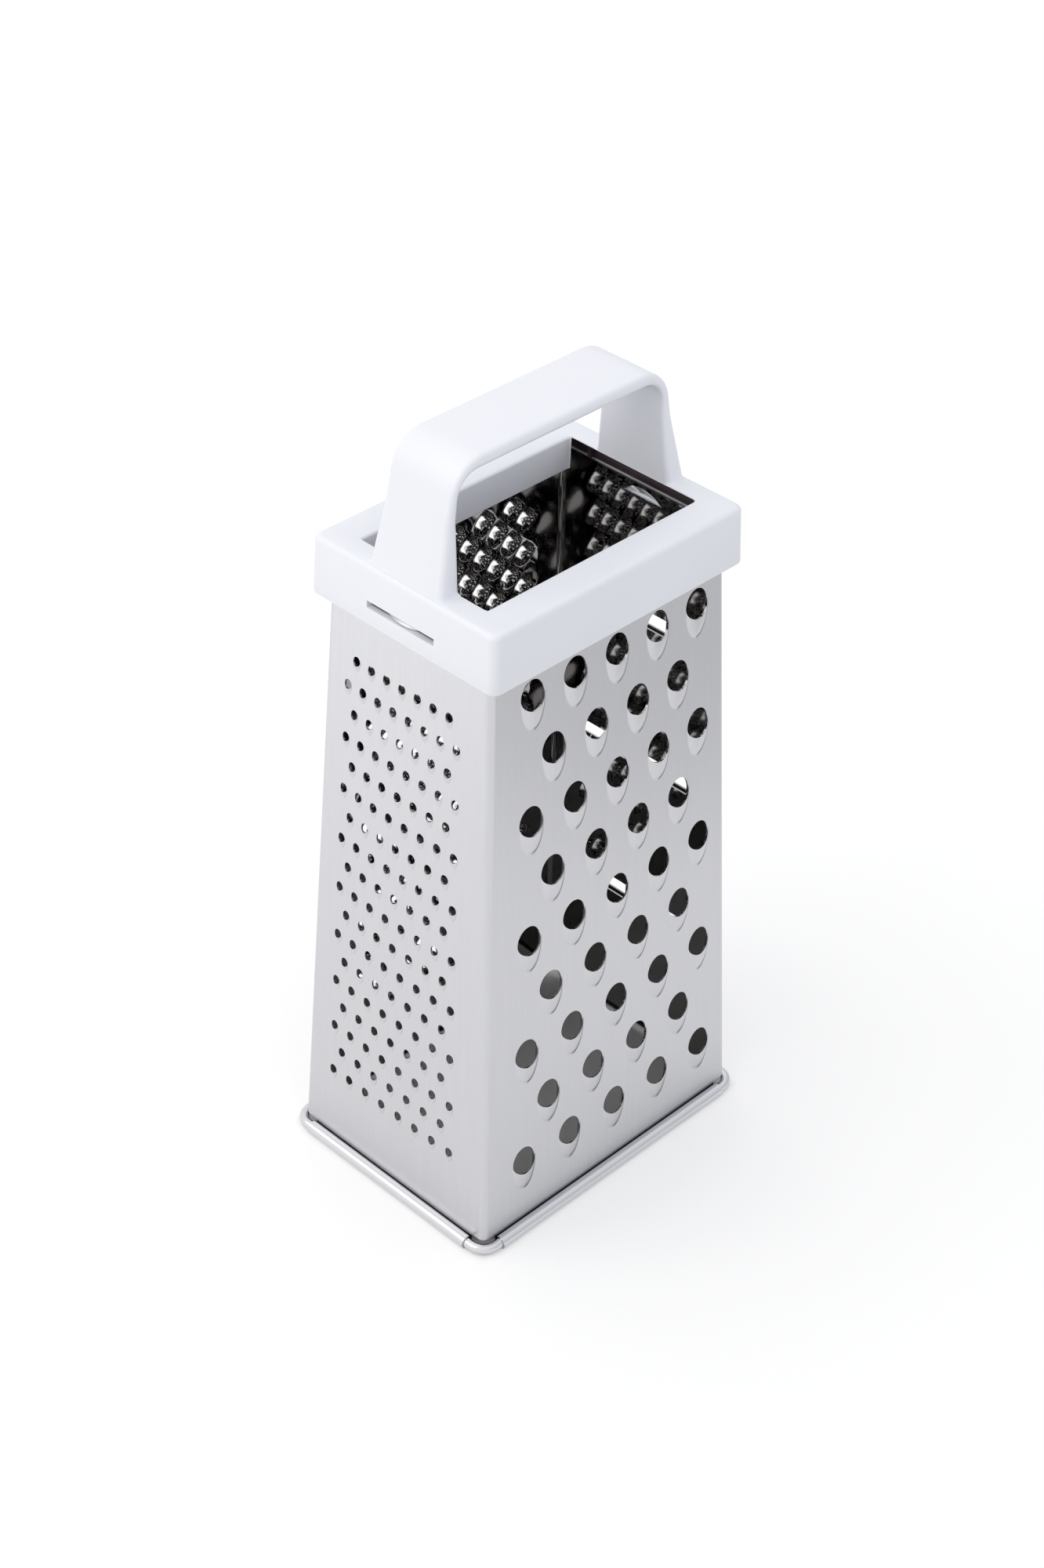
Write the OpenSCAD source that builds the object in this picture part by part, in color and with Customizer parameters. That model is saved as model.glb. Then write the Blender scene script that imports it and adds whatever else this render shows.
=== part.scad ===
// Four sided box grater: a folded steel tube on a wire ring, with a moulded collar and strap handle.
// Millimetres. The origin is on the floor under the middle of the base ring, with +Z up.
// X runs along the wide faces: the coarse face looks to -Y and the fine face to -X.

/* [Steel tube] */
// Length of the tube at the floor, over its narrow faces
base_length = 104; // [80:1:130]
// Width of the tube at the floor, over its wide faces
base_width = 77; // [60:1:100]
// Height of the tube's open top edge above the floor
tube_top = 200.3; // [150:0.1:240]
// Lean of every face towards the middle, in degrees
lean = 2.4; // [0.5:0.1:5]
// Thickness of the steel sheet
sheet = 0.5; // [0.4:0.1:1]
// Outside radius of the four folded corners
fold_radius = 2; // [1:0.1:5]
// Height at which the folded corners stop above the wire
corner_relief = 4.2; // [3.5:0.1:8]
// Width of the seam flap that laps inside the star face
flap_width = 8; // [4:0.5:12]
// Gap at each end of the seam flap
flap_end_gap = 6; // [2:0.5:12]

/* [Base ring] */
// Diameter of the base wire
wire_diameter = 3; // [2:0.1:5]
// Height of the wire's middle above the floor
wire_height = 2; // [1.5:0.05:4]
// Bend radius of the wire's middle line at the corners
wire_bend = 5; // [3:0.5:12]
// Space between the wire and the hem rolled round it
wire_gap = 0.1; // [0.05:0.05:0.5]
// Distance from the wire's middle line at a corner to the end of each hem
hem_setback = 6.7; // [5.5:0.1:12]
// Angle at which the rolled hem ends above the wire, in degrees from straight out
hem_end_angle = 115; // [90:1:140]

/* [Coarse face] */
// Rows of coarse teeth
coarse_rows = 9; // [3:2:13]
// Teeth in the rows that are full
coarse_per_row = 5; // [3:1:8]
// Height of the middle of the lowest coarse holes
coarse_first = 25.7; // [15:0.1:60]
// Distance of the highest coarse holes below the top edge
coarse_last = 18.8; // [12:0.1:40]
// Distance from the folds to the outer teeth of the lowest row
coarse_edge_low = 12; // [6:0.1:20]
// Distance from the folds to the outer teeth of the highest row
coarse_edge_high = 11.2; // [6:0.1:20]
// Shift of the coarse pattern towards the slicing face
coarse_shift = 1.5; // [-4:0.1:4]

/* [Coarse tooth] */
// Width of a coarse hole at its widest
tooth_width = 8.2; // [4:0.1:12]
// Height of a coarse hole
tooth_height = 8.9; // [5:0.1:16]
// Radius of the upper end of a coarse hole
tooth_top_radius = 3.4; // [1.5:0.1:5]
// Height of the cutting lip above the face
tooth_rise = 1.2; // [0.6:0.1:3]
// Length of the raised tail under a coarse hole
tooth_tail = 5.8; // [3:0.1:10]
// Spread of the tail from the line down its middle, in degrees
tooth_spread = 25; // [15:1:40]

/* [Fine face] */
// Rows of fine teeth
fine_rows = 18; // [6:2:24]
// Teeth in the rows that are full
fine_per_row = 8; // [4:1:12]
// Height of the middle of the lowest fine holes
fine_first = 29; // [15:0.1:60]
// Distance of the highest fine holes below the top edge
fine_last = 26.3; // [12:0.1:50]
// Distance from the folds to the outer teeth of the lowest full row
fine_edge_low = 10.8; // [4:0.1:20]
// Distance from the folds to the outer teeth of the highest full row
fine_edge_high = 8.6; // [4:0.1:20]
// Shift of the fine pattern away from the coarse face
fine_shift = 1.3; // [-4:0.1:4]
// Diameter of a fine hole
fine_hole = 2.8; // [1.5:0.1:5]
// Height of a fine cutting lip above the face
fine_lift = 0.5; // [0.3:0.05:1.5]
// Length of the raised tail under a fine hole
fine_tail = 2; // [1:0.1:4]
// Spread of a fine tail from the line down its middle, in degrees
fine_spread = 30; // [20:1:45]

/* [Star face] */
// Rows of star burrs
star_rows = 29; // [9:2:33]
// Burrs in the rows that are full
star_per_row = 6; // [3:1:9]
// Height of the middle of the lowest burrs
star_first = 26.3; // [15:0.1:60]
// Distance of the highest burrs below the top edge
star_last = 13.2; // [8:0.1:40]
// Distance from the folds to the outer burrs of the lowest full row
star_edge_low = 16.6; // [6:0.1:24]
// Distance from the folds to the outer burrs of the highest full row
star_edge_high = 14.9; // [6:0.1:24]
// Shift of the star pattern towards the slicing face
star_shift = 1.8; // [-4:0.1:4]
// Diameter of the dome round each burr
dome_diameter = 7.4; // [4:0.1:9]
// Height of each dome above the face
dome_rise = 1.4; // [0.6:0.1:2.5]
// Width across the corners of the square hole in each dome
star_hole = 3.6; // [1.2:0.1:4]
// Thickness left at the tips of the burr
star_edge = 0.2; // [0.1:0.05:0.5]
// Height of the burr above the dome
star_point = 0.7; // [0.3:0.1:1.5]

/* [Slicing face] */
// Heights of the three cutting lips, measured up the face
slice_heights = [49.5, 103.4, 154.2];
// Length of each slicing slot
slice_length = 44; // [25:1:56]
// Height of each slicing slot
slice_gap = 6; // [3:0.1:10]
// Radius of the slot's upper corners
slice_corner = 2.5; // [1:0.1:3]
// Length of the raised ramp under each slot
slice_tail = 7; // [4:0.1:12]
// Height of each slicing lip above the face
slice_rise = 1.8; // [0.8:0.1:3]

/* [Collar] */
// Height of the collar's top above the tube's top edge
collar_rise = 7.3; // [3:0.1:15]
// Height of the collar's skirt, from its top to its lower edge
collar_height = 17.5; // [12:0.1:30]
// Lean of the collar's outer faces, in degrees
collar_lean = 2; // [0:0.1:5]
// Outside radius of the collar's upright corners
collar_corner = 2.5; // [1:0.1:6]
// Inside radius of the collar's upright corners
skirt_corner = 1.2; // [0.5:0.1:4]
// Thickness of the collar's top plate
plate_thickness = 1.9; // [1.2:0.1:4]
// Thickness of the collar's outer wall
skirt_thickness = 1.8; // [1.2:0.1:3]
// Space between the skirt and the narrow faces of the tube
skirt_space_narrow = 1.5; // [0.5:0.1:4]
// Space between the skirt and the wide faces of the tube
skirt_space_wide = 2.5; // [0.5:0.1:5]
// Clearance between the collar's ribs and the tube
collar_gap = 0.15; // [0.05:0.05:0.5]
// Thickness of the ribs that centre the collar on the tube
rib_thickness = 1.2; // [0.8:0.1:2.5]
// Distance of the ribs on the wide sides from the ends of the opening
rib_inset_wide = 13; // [4:0.5:24]
// Distance of the ribs on the narrow sides from the sides of the opening
rib_inset_narrow = 3.2; // [1:0.1:6]
// Distance from the ends of the opening to the ends of the collar
mouth_border_narrow = 7.6; // [4:0.1:16]
// Distance from the long sides of the opening to the wide sides of the collar
mouth_border_wide = 10.9; // [5:0.1:18]
// Corner radius of the opening in the collar
mouth_corner = 2; // [0.5:0.5:8]
// Depth of the lips that hang along the long sides of the opening
lip_depth = 10.3; // [3:0.1:14]
// Thickness of the hanging lips
lip_thickness = 1.8; // [1:0.1:3]
// Thickness left at the two short edges of the opening
mouth_land = 0.3; // [0.2:0.1:1.9]
// Lean of the bevel under those edges, in degrees from upright
mouth_undercut = 50; // [0:5:60]

/* [Snap catches] */
// Length of the slot in each narrow side of the collar
window_length = 25; // [12:0.5:36]
// Distance of the slot's lower edge below the tube's top edge
window_drop = 5.1; // [3:0.1:9]
// Height of the slot
window_height = 2.1; // [1:0.1:4]
// Length of the straight cut edge of each catch
catch_length = 16.6; // [8:0.1:24]
// Play between the slot's lower edge and the catch above it
catch_play = 0.8; // [0.2:0.1:1.5]
// Height of the pressed ramp above the cut edge
catch_ramp = 3.5; // [2:0.1:6]
// Reach of each catch out from the steel face
catch_reach = 2.2; // [0.6:0.1:2.5]

/* [Handle] */
// Height of the top of the handle above the collar
handle_rise = 35.9; // [25:0.1:60]
// Distance from the ends of the collar to the outer faces of the feet
foot_inset = 1.2; // [0.2:0.1:5]
// Thickness of each leg at its foot
foot_thickness = 6.8; // [4:0.1:12]
// Lean of the legs' outer faces, in degrees
leg_outer_lean = 12; // [0:0.5:20]
// Outside radius of the upper corners
handle_corner = 11; // [5:0.5:16]
// Lean of the legs' inner faces, in degrees
leg_inner_lean = 2.8; // [0:0.1:8]
// Inside radius of the upper corners
strap_corner = 7; // [3:0.5:12]
// Thickness of the strap at the top
strap_thickness = 3.8; // [2.5:0.1:8]
// Width of the strap
strap_width = 23; // [15:0.5:40]
// Width of each foot
foot_width = 26.8; // [15:0.1:44]
// Height above the collar at which the legs reach the strap's width
foot_flare = 20; // [5:0.5:35]

/* [Quality] */
// Sides of the round shapes in the preview
smoothness = 32; // [16:8:96]
// Sides of the small holes in the fine face
hole_sides = 8; // [6:2:12]

/* [Hidden] */
$fn = smoothness;
// Every cut runs past the material by this much
over = 1;
steel_colour = [0.78, 0.78, 0.80];
wire_colour = [0.86, 0.86, 0.88];
plastic_colour = [0.95, 0.95, 0.97];
half_length = base_length / 2;
half_width = base_width / 2;
// The wire lies against the foot of the faces, with the hem rolled round it
wire_radius = wire_diameter / 2;
hem_inside = wire_radius + wire_gap;
hem_outside = hem_inside + sheet;
wire_reach = hem_inside / cos(lean) - wire_height * tan(lean);
wire_half_length = half_length + wire_reach;
wire_half_width = half_width + wire_reach;
hem_half_length = wire_half_length - hem_setback;
hem_half_width = wire_half_width - hem_setback;
hem_line = (wire_height - hem_inside * sin(lean)) / cos(lean);
// Faces are drawn in their own plane: x along the face, y up it, z out of it
face_top = tube_top / cos(lean);
relief_line = corner_relief / cos(lean);
tooth_radius = tooth_width / 2;
fine_radius = fine_hole / 2;
// The collar is fitted round the top of the tube, and the handle stands on the collar
collar_top = tube_top + collar_rise;
collar_bottom = collar_top - collar_height;
plate_bottom = collar_top - plate_thickness;
tube_narrowing = collar_top * tan(lean);
collar_half_length = half_length - tube_narrowing + skirt_space_narrow + skirt_thickness;
collar_half_width = half_width - tube_narrowing + skirt_space_wide + skirt_thickness;
mouth_half_length = collar_half_length - mouth_border_narrow;
mouth_half_width = collar_half_width - mouth_border_wide;
foot_outside = collar_half_length - foot_inset;
window_bottom = tube_top - window_drop;
// The folded corners lean along the line where two faces would meet
fold_tilt = atan(sqrt(2) * tan(lean));
fold_sweep = acos(pow(sin(lean), 2));
// Each dome and each catch is part of a hollow ball
dome_radius = (pow(dome_diameter / 2, 2) + pow(dome_rise, 2)) / (2 * dome_rise);
dome_depth = dome_radius - dome_rise;
catch_half = catch_length / 2;
catch_line = (window_bottom + catch_play) / cos(lean);
catch_circle = (pow(catch_half, 2) + pow(catch_reach, 2)) / (2 * catch_reach);
catch_depth = catch_circle - catch_reach;
catch_drop = (pow(catch_half, 2) - pow(catch_ramp, 2)) / (2 * catch_ramp);
catch_radius = sqrt(pow(catch_circle, 2) + pow(catch_drop, 2));

// Turns a face's own plane onto the side of the tube that looks to -Y before the turn
module on_face(turn, half_depth) {
    rotate([0, 0, turn])
        translate([0, -half_depth, 0])
            rotate([90 - lean, 0, 0])
                children();
}

function face_half(full_half, height) =
    full_half - fold_radius * cos(lean) - height * sin(lean);

// One flat face between its two folds, with its lower corners cut away above the wire
module face_plate(full_half, hem_half) {
    low = face_half(full_half, relief_line);
    high = face_half(full_half, face_top);
    translate([0, 0, -sheet])
        linear_extrude(sheet)
            polygon([
                [-hem_half, hem_line],
                [hem_half, hem_line],
                [hem_half, relief_line],
                [low, relief_line],
                [high, face_top],
                [-high, face_top],
                [-low, relief_line],
                [-hem_half, relief_line]
            ]);
}

// Spacing of the teeth that leaves a given distance to the folds at both ends of a full row
function row_pitch(full_half, height, edge, per_row) =
    2 * (face_half(full_half, height) - edge) / (per_row - 1);

// Places its child at every point of a staggered pattern that fans out downwards
module fanned_rows(full_half, rows, per_row, full_parity, first, last, edge_low, edge_high, shift,
        lift) {
    highest = face_top - last;
    pitch_low = row_pitch(full_half, first, edge_low, per_row);
    pitch_high = row_pitch(full_half, highest, edge_high, per_row);
    for (row = [0 : rows - 1]) {
        share = row / (rows - 1);
        count = row % 2 == full_parity ? per_row : per_row - 1;
        pitch = pitch_low + (pitch_high - pitch_low) * share;
        height = first + (highest - first) * share;
        for (column = [0 : count - 1])
            translate([shift + (column - (count - 1) / 2) * pitch, height + lift, 0])
                children();
    }
}

function rise_angle(lift, tail) = atan(lift / tail);

// How far the cone of a raised tail points down into the face
function dip_angle(lift, tail, spread) =
    atan((cos(rise_angle(lift, tail)) - cos(spread)) / sin(rise_angle(lift, tail)));

// Cone that rises from the face at the end of a tail and widens upwards
module tail_cone(lift, tail, spread, length, skin) {
    dip = dip_angle(lift, tail, spread);
    half_angle = rise_angle(lift, tail) + dip;
    translate([0, -tail, 0])
        rotate([-90 - dip, 0, 0])
            translate([0, 0, skin / sin(half_angle)])
                cylinder(h = length, r1 = 0, r2 = length * tan(half_angle));
}

// Slab that the raised part of a tooth stays within, from its tail up to a given height
module tail_space(lift, tail, reach, depth) {
    translate([-2 * reach, -tail - over, -depth])
        cube([4 * reach, tail + over + reach, 2 * lift + depth]);
}

module tooth_metal(lift, tail, spread, reach) {
    intersection() {
        tail_cone(lift, tail, spread, tail + 2 * reach, 0);
        tail_space(lift, tail, reach, sheet);
    }
}

// The hollow under a tooth, with the hole drawn by the child
module tooth_cut(lift, tail, spread, reach) {
    intersection() {
        tail_cone(lift, tail, spread, tail + 2 * reach, sheet);
        tail_space(lift, tail, reach, sheet + over);
    }
    translate([0, 0, -sheet - over])
        linear_extrude(2 * lift + sheet + 2 * over)
            children();
}

// Egg shaped hole of a coarse tooth, standing on its lower rim
module egg() {
    shoulder = tooth_height - tooth_top_radius;
    translate([0, tooth_radius])
        circle(r = tooth_radius);
    translate([0, shoulder])
        circle(r = tooth_top_radius);
    polygon([
        [-tooth_radius, tooth_radius],
        [tooth_radius, tooth_radius],
        [tooth_top_radius, shoulder],
        [-tooth_top_radius, shoulder]
    ]);
}

module coarse_pattern() {
    fanned_rows(half_length, coarse_rows, coarse_per_row, 0, coarse_first, coarse_last,
        coarse_edge_low, coarse_edge_high, coarse_shift, -tooth_height / 2)
        children();
}

module coarse_face() {
    color(steel_colour)
        on_face(0, half_width)
            difference() {
                union() {
                    face_plate(half_length, hem_half_length);
                    coarse_pattern()
                        tooth_metal(tooth_rise, tooth_tail, tooth_spread, tooth_radius);
                }
                coarse_pattern()
                    tooth_cut(tooth_rise, tooth_tail, tooth_spread, tooth_radius)
                        egg();
            }
}

module fine_pattern() {
    fanned_rows(half_width, fine_rows, fine_per_row, 0, fine_first, fine_last,
        fine_edge_low, fine_edge_high, -fine_shift, -fine_radius)
        children();
}

// Pressed catch that snaps into the slot of the collar, open along its lower edge
module catch_ball(skin) {
    intersection() {
        translate([0, catch_line - catch_drop, -catch_depth])
            sphere(r = catch_radius - skin);
        translate([-catch_length, catch_line, -sheet - skin])
            cube([2 * catch_length, catch_ramp + over, catch_reach + sheet + skin + over]);
    }
}

module fine_face() {
    color(steel_colour)
        on_face(-90, half_length)
            difference() {
                union() {
                    face_plate(half_width, hem_half_width);
                    catch_ball(0);
                    fine_pattern()
                        tooth_metal(fine_lift, fine_tail, fine_spread, fine_radius);
                }
                catch_ball(sheet);
                fine_pattern()
                    tooth_cut(fine_lift, fine_tail, fine_spread, fine_radius)
                        translate([0, fine_radius])
                            rotate(180 / hole_sides)
                                circle(r = fine_radius, $fn = hole_sides);
            }
}

module star_pattern() {
    fanned_rows(half_length, star_rows, star_per_row, 1, star_first, star_last,
        star_edge_low, star_edge_high, -star_shift, 0)
        children();
}

// Ball of a dome, kept above a given depth below the face
module dome_ball(skin, depth) {
    intersection() {
        translate([0, 0, -dome_depth])
            sphere(r = dome_radius - skin);
        translate([-dome_radius, -dome_radius, -depth])
            cube([2 * dome_radius, 2 * dome_radius, dome_rise + depth + over]);
    }
}

// Dome with the four points of its burr standing round the hole
module star_metal() {
    dome_ball(0, sheet);
    translate([0, 0, dome_rise - 2 * sheet])
        cylinder(h = 2 * sheet + star_point, r1 = star_hole / 2 + sheet, r2 = star_hole / 2 + star_edge,
            $fn = 4);
}

module star_cut() {
    dome_ball(sheet, sheet + over);
    translate([0, 0, -sheet - over])
        linear_extrude(dome_rise + star_point + sheet + 2 * over)
            circle(d = star_hole, $fn = 4);
}

module star_face() {
    color(steel_colour)
        on_face(180, half_width)
            difference() {
                union() {
                    face_plate(half_length, hem_half_length);
                    star_pattern()
                        star_metal();
                }
                star_pattern()
                    star_cut();
            }
}

// Ramp under a slicing slot, with a cone closing each end
module slice_ramp(skin) {
    angle = rise_angle(slice_rise, slice_tail);
    start = skin / sin(angle);
    run = slice_tail - start;
    half = slice_length / 2;
    translate([0, -run, 0]) {
        rotate([90, 0, 90])
            translate([0, 0, -half])
                linear_extrude(slice_length)
                    polygon([[0, 0], [run, 0], [run, run * tan(angle)]]);
        for (side = [-1, 1])
            translate([side * half, 0, 0])
                rotate([-90, 0, 0])
                    cylinder(h = run, r1 = 0, r2 = run * tan(angle));
    }
}

// Slot with rounded upper corners, standing on its cutting lip
module slice_slot() {
    translate([-slice_length / 2, 0])
        square([slice_length, slice_gap - slice_corner]);
    translate([-slice_length / 2 + slice_corner, 0])
        square([slice_length - 2 * slice_corner, slice_gap]);
    for (side = [-1, 1])
        translate([side * (slice_length / 2 - slice_corner), slice_gap - slice_corner])
            circle(r = slice_corner);
}

module slice_pattern() {
    for (height = slice_heights)
        translate([0, height, 0])
            children();
}

// Metal of one ramp, kept above the inside of the sheet
module slice_metal() {
    intersection() {
        slice_ramp(0);
        translate([-slice_length, -slice_tail - over, -sheet])
            cube([2 * slice_length, slice_tail + over, slice_rise + sheet + over]);
    }
}

module slicing_face() {
    color(steel_colour)
        on_face(90, half_length)
            difference() {
                union() {
                    face_plate(half_width, hem_half_width);
                    catch_ball(0);
                    slice_pattern()
                        slice_metal();
                }
                catch_ball(sheet);
                slice_pattern() {
                    slice_ramp(sheet);
                    translate([0, 0, -sheet - over])
                        linear_extrude(slice_rise + sheet + 2 * over)
                            slice_slot();
                }
            }
}

// Folded corner between two faces, drawn at -X and -Y before the turn
module fold(turn, half_x, half_y) {
    axis_inset = fold_radius / cos(lean);
    color(steel_colour)
        rotate([0, 0, turn])
            translate([axis_inset - half_x, axis_inset - half_y, 0])
                rotate(a = fold_tilt, v = [-1, 1, 0])
                    rotate([0, 0, 225 - fold_sweep / 2])
                        rotate_extrude(angle = fold_sweep)
                            translate([fold_radius - sheet, corner_relief])
                                square([sheet, tube_top - corner_relief]);
}

// Free end of the sheet, lapped and welded inside the star face
module seam_flap() {
    low = relief_line + flap_end_gap;
    high = face_top - flap_end_gap;
    color(steel_colour)
        on_face(180, half_width)
            translate([0, 0, -2 * sheet])
                linear_extrude(sheet)
                    polygon([
                        [face_half(half_length, low) - flap_width, low],
                        [face_half(half_length, low), low],
                        [face_half(half_length, high), high],
                        [face_half(half_length, high) - flap_width, high]
                    ]);
}

// Section of the rolled hem: under the wire, round its outside and back over it
module hem_section() {
    far = 2 * hem_outside;
    middle = (hem_end_angle + 180) / 2;
    difference() {
        circle(r = hem_outside);
        circle(r = hem_inside);
        polygon([
            [0, 0],
            [far * cos(hem_end_angle), far * sin(hem_end_angle)],
            [far * cos(middle), far * sin(middle)],
            [-far, 0]
        ]);
    }
}

module hem(turn, half_depth, hem_half) {
    color(steel_colour)
        difference() {
            on_face(turn, half_depth)
                translate([-hem_half, hem_line, hem_inside])
                    rotate([0, 90, 0])
                        linear_extrude(2 * hem_half)
                            mirror([1, 0])
                                hem_section();
            translate([-base_length, -base_length, -base_length])
                cube([2 * base_length, 2 * base_length, base_length]);
        }
}

module wire_side(half_along, half_across) {
    run = 2 * (half_along - wire_bend);
    translate([-run / 2, -half_across, wire_height])
        rotate([0, 90, 0])
            cylinder(h = run, r = wire_radius);
}

module wire_corner(turn, half_x, half_y) {
    rotate([0, 0, turn])
        translate([half_x - wire_bend, half_y - wire_bend, wire_height])
            rotate_extrude(angle = 90)
                translate([wire_bend, 0])
                    circle(r = wire_radius);
}

// Closed ring of wire that the foot of the tube is rolled round
module base_wire() {
    color(wire_colour)
        for (turn = [0, 180]) {
            rotate([0, 0, turn])
                wire_side(wire_half_length, wire_half_width);
            rotate([0, 0, turn + 90])
                wire_side(wire_half_width, wire_half_length);
            wire_corner(turn, wire_half_length, wire_half_width);
            wire_corner(turn + 90, wire_half_width, wire_half_length);
        }
}

// Two walls of a block that lean in towards each other, as one solid along Y
module leaning_slab(half_low, half_high, half_along, low, high) {
    translate([0, half_along, 0])
        rotate([90, 0, 0])
            linear_extrude(2 * half_along)
                polygon([[-half_low, low], [half_low, low], [half_high, high], [-half_high, high]]);
}

// Block whose four sides lean in, with its half sizes given at one height and rounded upright corners
module leaning_block(half_x, half_y, given, angle, low, high, corner) {
    grow_low = (given - low) * tan(angle);
    grow_high = (given - high) * tan(angle);
    inset = corner * cos(angle);
    axis_inset = corner / cos(angle);
    tilt = atan(sqrt(2) * tan(angle));
    intersection() {
        union() {
            intersection() {
                leaning_slab(half_x + grow_low - inset, half_x + grow_high - inset, 2 * half_y,
                    low, high);
                rotate([0, 0, 90])
                    leaning_slab(half_y + grow_low, half_y + grow_high, 2 * half_x, low, high);
            }
            intersection() {
                leaning_slab(half_x + grow_low, half_x + grow_high, 2 * half_y, low, high);
                rotate([0, 0, 90])
                    leaning_slab(half_y + grow_low - inset, half_y + grow_high - inset, 2 * half_x,
                        low, high);
            }
            for (side_x = [0, 1])
                for (side_y = [0, 1])
                    mirror([side_x, 0, 0])
                        mirror([0, side_y, 0])
                            translate([axis_inset - half_x, axis_inset - half_y, given])
                                rotate(a = tilt, v = [-1, 1, 0])
                                    translate([0, 0, low - given - corner])
                                        cylinder(h = high - low + 2 * corner, r = corner);
        }
        translate([-2 * half_x, -2 * half_y, low])
            cube([4 * half_x, 4 * half_y, high - low]);
    }
}

// Space that the steel tube takes up inside the collar, with a clearance all round
module tube_space(high) {
    reach = collar_gap / cos(lean);
    leaning_block(half_length + reach, half_width + reach, 0, lean, collar_bottom - over, high,
        fold_radius + collar_gap);
}

// One rib in each quarter of one pair of sides, from the skirt in to the tube's inner face
module rib_set(place, tube_half, collar_half) {
    inner = tube_half - tube_top * tan(lean) - sheet;
    outer = collar_half - skirt_thickness / 2;
    for (side = [-1, 1])
        for (way = [0, 180])
            rotate([0, 0, way])
                translate([side * place - rib_thickness / 2, inner, collar_bottom + rib_thickness])
                    cube([rib_thickness, outer - inner, plate_bottom - collar_bottom]);
}

module collar_ribs() {
    difference() {
        union() {
            rib_set(mouth_half_length - rib_inset_wide, half_width, collar_half_width);
            rotate([0, 0, 90])
                rib_set(mouth_half_width - rib_inset_narrow, half_length, collar_half_length);
        }
        tube_space(tube_top + collar_gap);
    }
}

module collar_lips() {
    for (side = [0, 1])
        mirror([0, side, 0])
            translate([-mouth_half_length, mouth_half_width, collar_top - lip_depth])
                cube([2 * mouth_half_length, lip_thickness, lip_depth - plate_thickness / 2]);
}

module mouth() {
    straight = mouth_half_length - mouth_corner;
    across = mouth_half_width - mouth_corner;
    square([2 * straight, 2 * mouth_half_width], center = true);
    square([2 * mouth_half_length, 2 * across], center = true);
    for (side_x = [-1, 1])
        for (side_y = [-1, 1])
            translate([side_x * straight, side_y * across])
                circle(r = mouth_corner);
}

// Bevels under the short edges of the opening, which leave a thin edge on top
module mouth_bevels() {
    height = plate_thickness - mouth_land;
    slope = tan(mouth_undercut);
    across = mouth_half_width - mouth_corner;
    for (side = [0, 1])
        mirror([side, 0, 0])
            translate([mouth_half_length, across, plate_bottom])
                rotate([90, 0, 0])
                    linear_extrude(2 * across)
                        polygon([
                            [-over, -over],
                            [(height + over) * slope, -over],
                            [0, height],
                            [-over, height]
                        ]);
}

module collar_shell() {
    difference() {
        leaning_block(collar_half_length, collar_half_width, collar_top, collar_lean,
            collar_bottom, collar_top, collar_corner);
        leaning_block(collar_half_length - skirt_thickness, collar_half_width - skirt_thickness,
            collar_top, collar_lean, collar_bottom - over, plate_bottom, skirt_corner);
    }
}

// Moulded cover that holds the top of the tube, with an opening to reach and rinse the inside
module collar() {
    color(plastic_colour)
        difference() {
            union() {
                collar_shell();
                collar_ribs();
                collar_lips();
            }
            translate([0, 0, plate_bottom - over])
                linear_extrude(plate_thickness + 2 * over)
                    mouth();
            mouth_bevels();
            translate([-2 * collar_half_length, -window_length / 2, window_bottom])
                cube([4 * collar_half_length, window_length, window_height]);
        }
}

// Outline of an arch with leaning legs and rounded upper corners, from a given depth below its feet
module arch(foot_half, leg_lean, corner, rise, below) {
    centre_height = rise - corner;
    centre = foot_half - centre_height * tan(leg_lean) - corner / cos(leg_lean);
    bend_x = centre + corner * cos(leg_lean);
    bend_y = centre_height + corner * sin(leg_lean);
    foot = foot_half + below * tan(leg_lean);
    polygon([
        [-foot, -below],
        [foot, -below],
        [bend_x, bend_y],
        [centre, rise],
        [-centre, rise],
        [-bend_x, bend_y]
    ]);
    for (side = [-1, 1])
        translate([side * centre, centre_height])
            circle(r = corner);
}

// Strap handle, moulded in one with the collar
module handle() {
    color(plastic_colour)
        translate([0, 0, collar_top])
            intersection() {
                rotate([90, 0, 0])
                    translate([0, 0, -foot_width])
                        linear_extrude(2 * foot_width)
                            difference() {
                                arch(foot_outside, leg_outer_lean, handle_corner, handle_rise, 0);
                                arch(foot_outside - foot_thickness, leg_inner_lean, strap_corner,
                                    handle_rise - strap_thickness, over);
                            }
                rotate([90, 0, 90])
                    translate([0, 0, -2 * foot_outside])
                        linear_extrude(4 * foot_outside)
                            polygon([
                                [-foot_width / 2, 0],
                                [foot_width / 2, 0],
                                [strap_width / 2, foot_flare],
                                [strap_width / 2, handle_rise],
                                [-strap_width / 2, handle_rise],
                                [-strap_width / 2, foot_flare]
                            ]);
            }
}

coarse_face();
fine_face();
star_face();
slicing_face();
fold(0, half_length, half_width);  // fold_coarse_fine
fold(90, half_width, half_length);  // fold_coarse_slicing
fold(180, half_length, half_width);  // fold_star_slicing
fold(270, half_width, half_length);  // fold_star_fine
seam_flap();
hem(0, half_width, hem_half_length);  // hem_coarse
hem(-90, half_length, hem_half_width);  // hem_fine
hem(180, half_width, hem_half_length);  // hem_star
hem(90, half_length, hem_half_width);  // hem_slicing
base_wire();
collar();
handle();
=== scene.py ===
import bpy, bmesh, math
from mathutils import Matrix, Vector


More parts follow.
